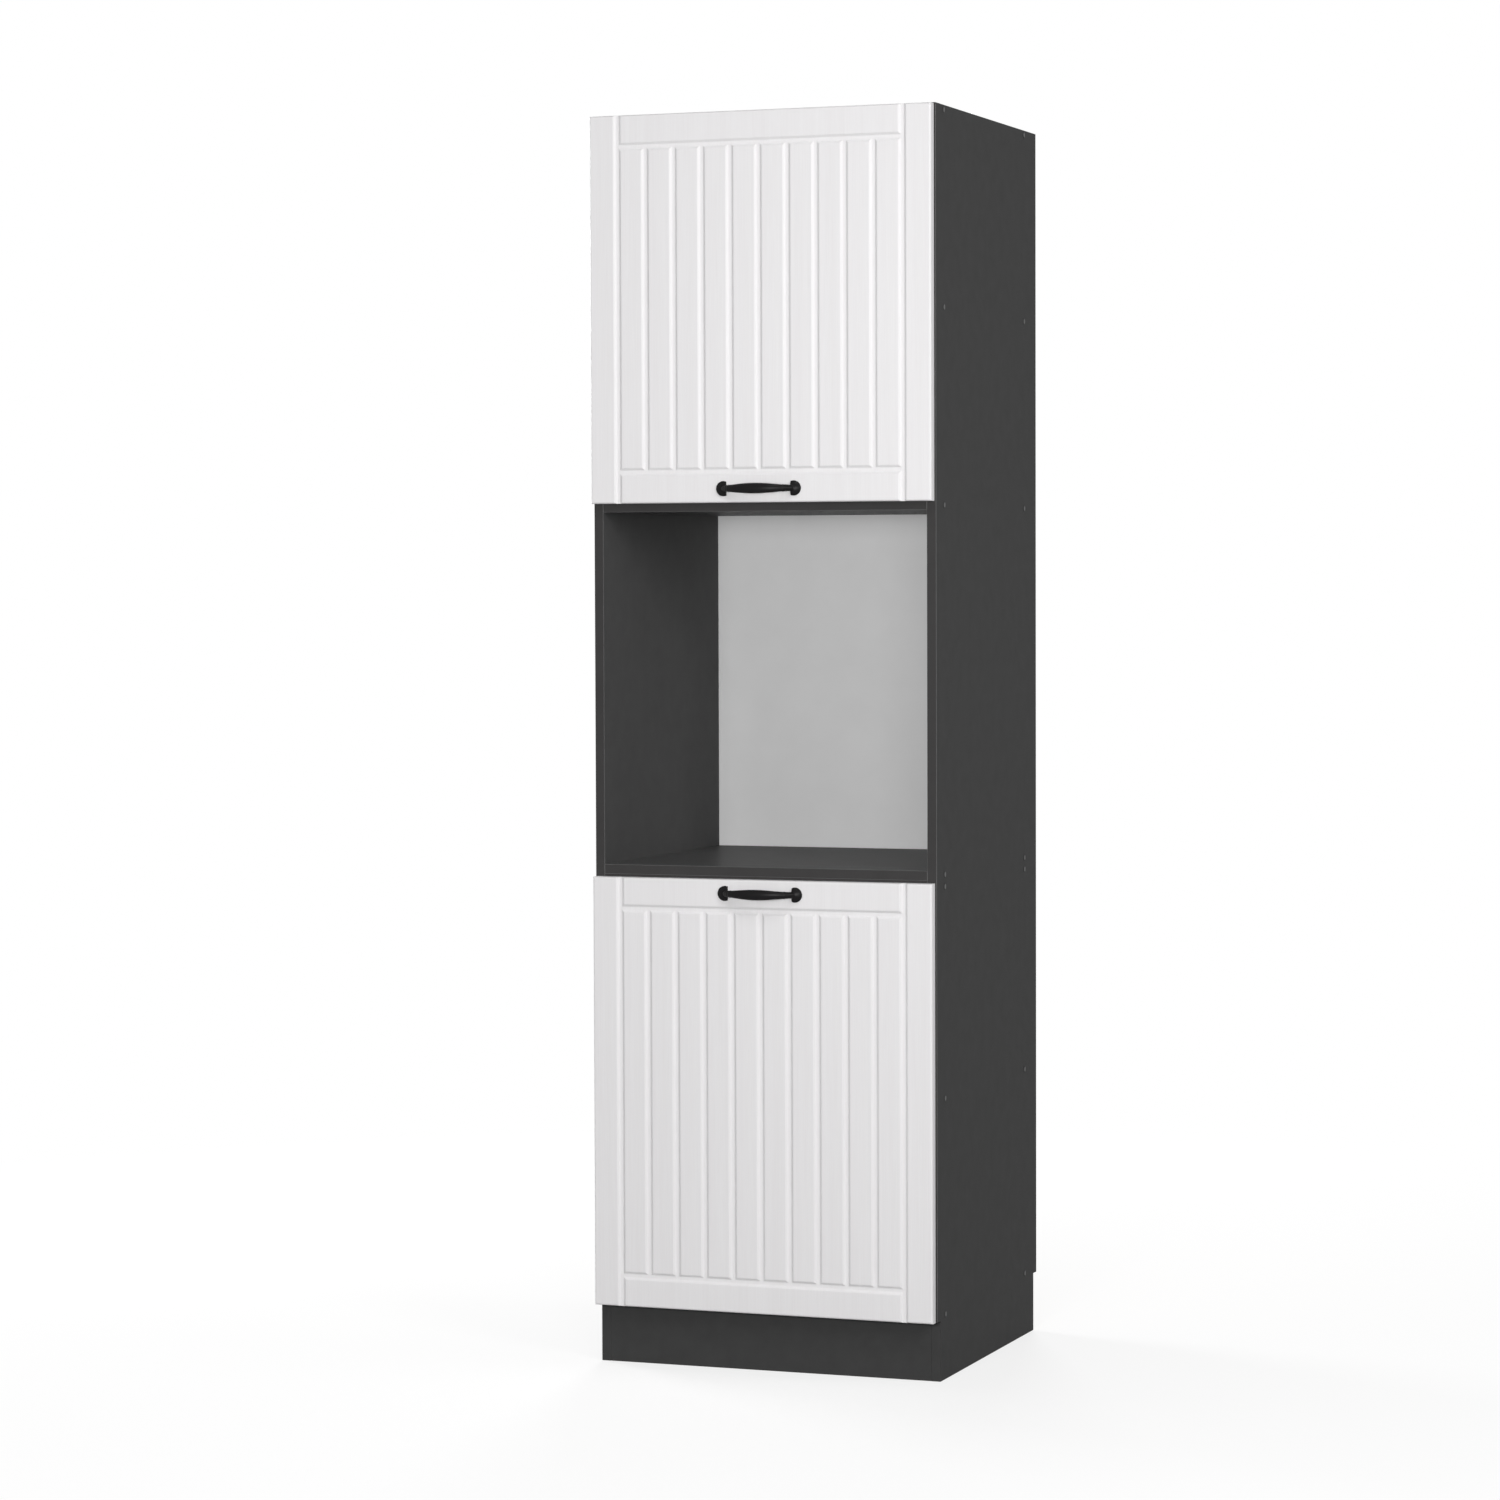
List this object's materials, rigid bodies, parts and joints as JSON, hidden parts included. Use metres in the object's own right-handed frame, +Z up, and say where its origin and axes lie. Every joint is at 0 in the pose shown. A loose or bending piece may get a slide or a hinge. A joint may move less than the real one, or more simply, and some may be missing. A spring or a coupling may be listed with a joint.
{
  "type": "oven base cabinet",
  "caption": "Tall kitchen cabinet with an open niche for a built-in oven, a lift-up boarded door above it and a side-hung boarded door below, on a recessed plinth.",
  "frame": {"origin": "on the floor, at the centre of the whole box over carcass, caps, doors and handles", "axes": "+X to the viewer's right as one faces the doors, the doors and handles face -Y, +Z up"},
  "size_m": [0.6016, 0.6054, 2.086],
  "materials": {
    "graphite_board": "matt graphite melamine on chipboard",
    "white_front": "satin white foil on milled MDF",
    "back_sheet": "light grey lacquered hardboard",
    "black_cast": "satin black lacquer on die-cast zinc",
    "plated_steel": "nickel-plated pressed steel",
    "dark_steel": "black lacquered steel tube",
    "rod_steel": "ground and chromed rod",
    "cap_plastic": "grey moulded polyethylene",
    "bumper_clear": "clear soft polyurethane"
  },
  "bodies": {
    "carcass": {"side_left": "graphite_board", "side_right": "graphite_board", "top_panel": "graphite_board", "upper_shelf": "graphite_board", "niche_top": "graphite_board", "niche_floor": "graphite_board", "lower_top": "graphite_board", "lower_shelf": "graphite_board", "bottom_panel": "graphite_board", "plinth_board": "graphite_board", "back_upper": "back_sheet", "back_lower": "back_sheet", "screw_caps_left": "cap_plastic", "screw_caps_right": "cap_plastic", "plinth_brackets": "plated_steel", "plinth_screws": "plated_steel", "back_screws": "plated_steel", "assembly_screws": "plated_steel", "wall_brackets": "plated_steel", "wall_bracket_screws": "plated_steel", "upper_hinge_plates": "plated_steel", "upper_hinge_plate_screws": "plated_steel", "upper_hinge_arms": "plated_steel", "upper_hinge_adjusters": "plated_steel", "lower_hinge_plates": "plated_steel", "lower_hinge_plate_screws": "plated_steel", "lower_hinge_arms": "plated_steel", "lower_hinge_adjusters": "plated_steel", "strut_side_brackets": "plated_steel", "strut_side_screws": "plated_steel"},
    "upper_door": {"upper_door": "white_front", "upper_door_bumpers": "bumper_clear", "upper_handle": "black_cast", "upper_handle_screws": "plated_steel", "upper_hinge_cups": "plated_steel", "upper_hinge_cup_screws": "plated_steel", "upper_hinge_pins": "plated_steel", "strut_door_brackets": "plated_steel", "strut_door_screws": "plated_steel"},
    "lower_door": {"lower_door": "white_front", "lower_door_bumpers": "bumper_clear", "lower_handle": "black_cast", "lower_handle_screws": "plated_steel", "lower_hinge_cups": "plated_steel", "lower_hinge_cup_screws": "plated_steel", "lower_hinge_pins": "plated_steel"},
    "strut_body_left": {"strut_tube_left": "dark_steel"},
    "strut_body_right": {"strut_tube_right": "dark_steel"},
    "strut_slider_left": {"strut_rod_left": "rod_steel"},
    "strut_slider_right": {"strut_rod_right": "rod_steel"}
  },
  "joints": [
    {"name": "upper_door_hinge", "type": "hinge", "parent": "carcass", "child": "upper_door", "pos_m": [0, -0.26745, 2.0772], "axis": [-1, 0, 0], "range_deg": [0, 90]},
    {"name": "lower_door_hinge", "type": "hinge", "parent": "carcass", "child": "lower_door", "pos_m": [-0.2912, -0.26745, 0.46], "axis": [0, 0, -1], "range_deg": [0, 95]},
    {"name": "strut_left_swing", "type": "hinge", "parent": "carcass", "child": "strut_body_left", "pos_m": [-0.269, -0.22025, 1.8272], "axis": [1, 0, 0], "range_deg": [0, 19]},
    {"name": "strut_left_stroke", "type": "slide", "parent": "strut_body_left", "child": "strut_slider_left", "axis": [0, -0.115, 0.9934], "range_m": [0, 0.058]},
    {"name": "strut_right_swing", "type": "hinge", "parent": "carcass", "child": "strut_body_right", "pos_m": [0.269, -0.22025, 1.8272], "axis": [1, 0, 0], "range_deg": [0, 19]},
    {"name": "strut_right_stroke", "type": "slide", "parent": "strut_body_right", "child": "strut_slider_right", "axis": [0, -0.115, 0.9934], "range_m": [0, 0.058]}
  ],
  "couplings": [
    {"joint": "strut_left_swing", "follows": "upper_door_hinge", "ratio": 0.20989},
    {"joint": "strut_left_stroke", "follows": "upper_door_hinge", "m_per_rad": 0.036785},
    {"joint": "strut_right_swing", "follows": "upper_door_hinge", "ratio": 0.20989},
    {"joint": "strut_right_stroke", "follows": "upper_door_hinge", "m_per_rad": 0.036785}
  ]
}
